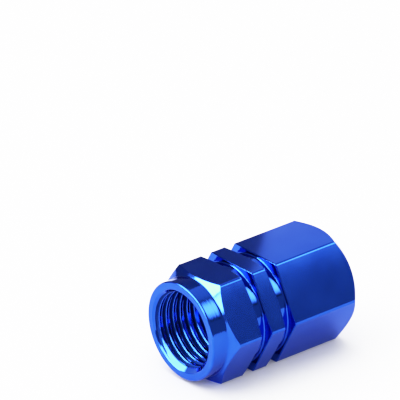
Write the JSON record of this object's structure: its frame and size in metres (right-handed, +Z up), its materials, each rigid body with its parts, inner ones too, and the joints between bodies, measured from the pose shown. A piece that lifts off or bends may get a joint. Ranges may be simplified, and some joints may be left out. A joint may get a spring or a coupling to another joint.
{
  "type": "tyre valve cap",
  "caption": "Blue hexagonal metal dust cap for a tyre valve, with a chamfered crown, turned grooves round a narrow band, and a round collar at a threaded blind hole.",
  "frame": {"origin": "centre of the cap's mouth, on the hole's axis", "axes": "+Y along the cap's axis from the mouth to the crown, +Z up, with the cap lying on one of its flats; +X to the side"},
  "size_m": [0.0112, 0.0162, 0.0098],
  "materials": {
    "blue_aluminium": "polished and dyed blue, mirror gloss"
  },
  "bodies": {
    "root": {"valve_cap": "blue_aluminium"}
  },
  "joints": []
}
